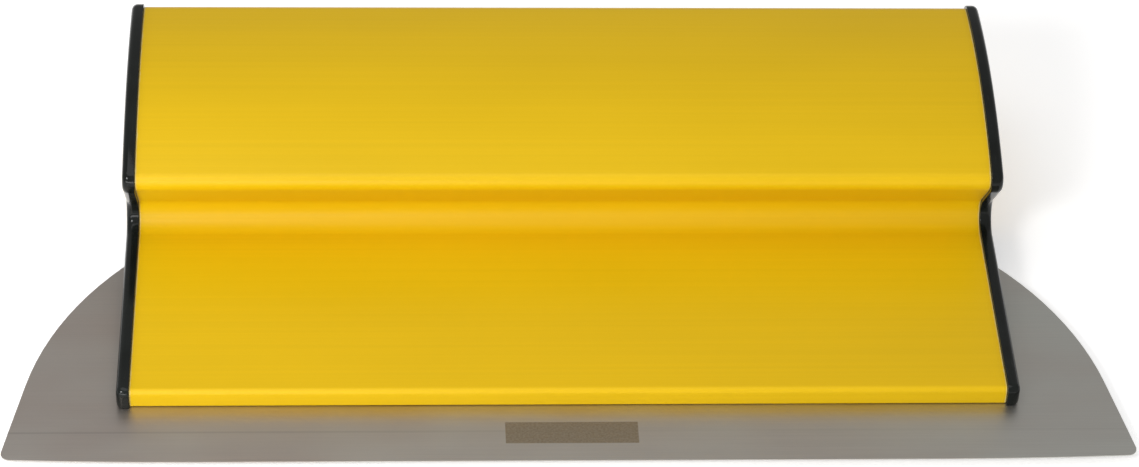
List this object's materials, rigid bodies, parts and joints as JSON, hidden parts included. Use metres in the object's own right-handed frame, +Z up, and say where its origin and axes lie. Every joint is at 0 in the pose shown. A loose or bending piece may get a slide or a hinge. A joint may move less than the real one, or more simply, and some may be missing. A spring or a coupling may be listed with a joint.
{
  "type": "drywall finishing knife",
  "caption": "Flat drywall finishing knife: a full-width hollow metal handle with a raised grip shelf, black end caps and a thin half-moon steel blade clamped under it.",
  "frame": {"origin": "middle of the handle's flat underside, halfway along the knife and halfway between the handle's front lip and the back of its foot", "axes": "+X along the blade to the right, -Y towards the working edge, +Z up, away from the face the knife lies on"},
  "size_m": [0.2532, 0.1236, 0.0396],
  "materials": {
    "yellow_coated_aluminium": "smooth semi-gloss yellow coating on extruded aluminium",
    "stainless_steel": "satin, brushed lengthwise",
    "bare_aluminium": "mill finish",
    "plated_steel": "bright zinc plate",
    "black_plastic": "moulded, slightly glossy"
  },
  "bodies": {
    "handle": {"handle_extrusion": "yellow_coated_aluminium", "thread_inserts": "plated_steel"},
    "clamp": {"clamp_plate": "bare_aluminium", "clamp_screws": "plated_steel"},
    "blade": {"blade": "stainless_steel"},
    "left_cap": {"left_end_cap": "black_plastic", "left_cap_screws": "plated_steel"},
    "right_cap": {"right_end_cap": "black_plastic", "right_cap_screws": "plated_steel"}
  },
  "joints": [
    {"name": "blade_slide", "type": "slide", "parent": "handle", "child": "blade", "axis": [0, -1, 0], "range_m": [0, 0.075]},
    {"name": "clamp_slack", "type": "slide", "parent": "handle", "child": "clamp", "axis": [0, 0, -1], "range_m": [0, 0.0014]},
    {"name": "left_cap_slide", "type": "slide", "parent": "handle", "child": "left_cap", "axis": [-1, 0, 0], "range_m": [0, 0.03]},
    {"name": "right_cap_slide", "type": "slide", "parent": "handle", "child": "right_cap", "axis": [1, 0, 0], "range_m": [0, 0.03]}
  ]
}
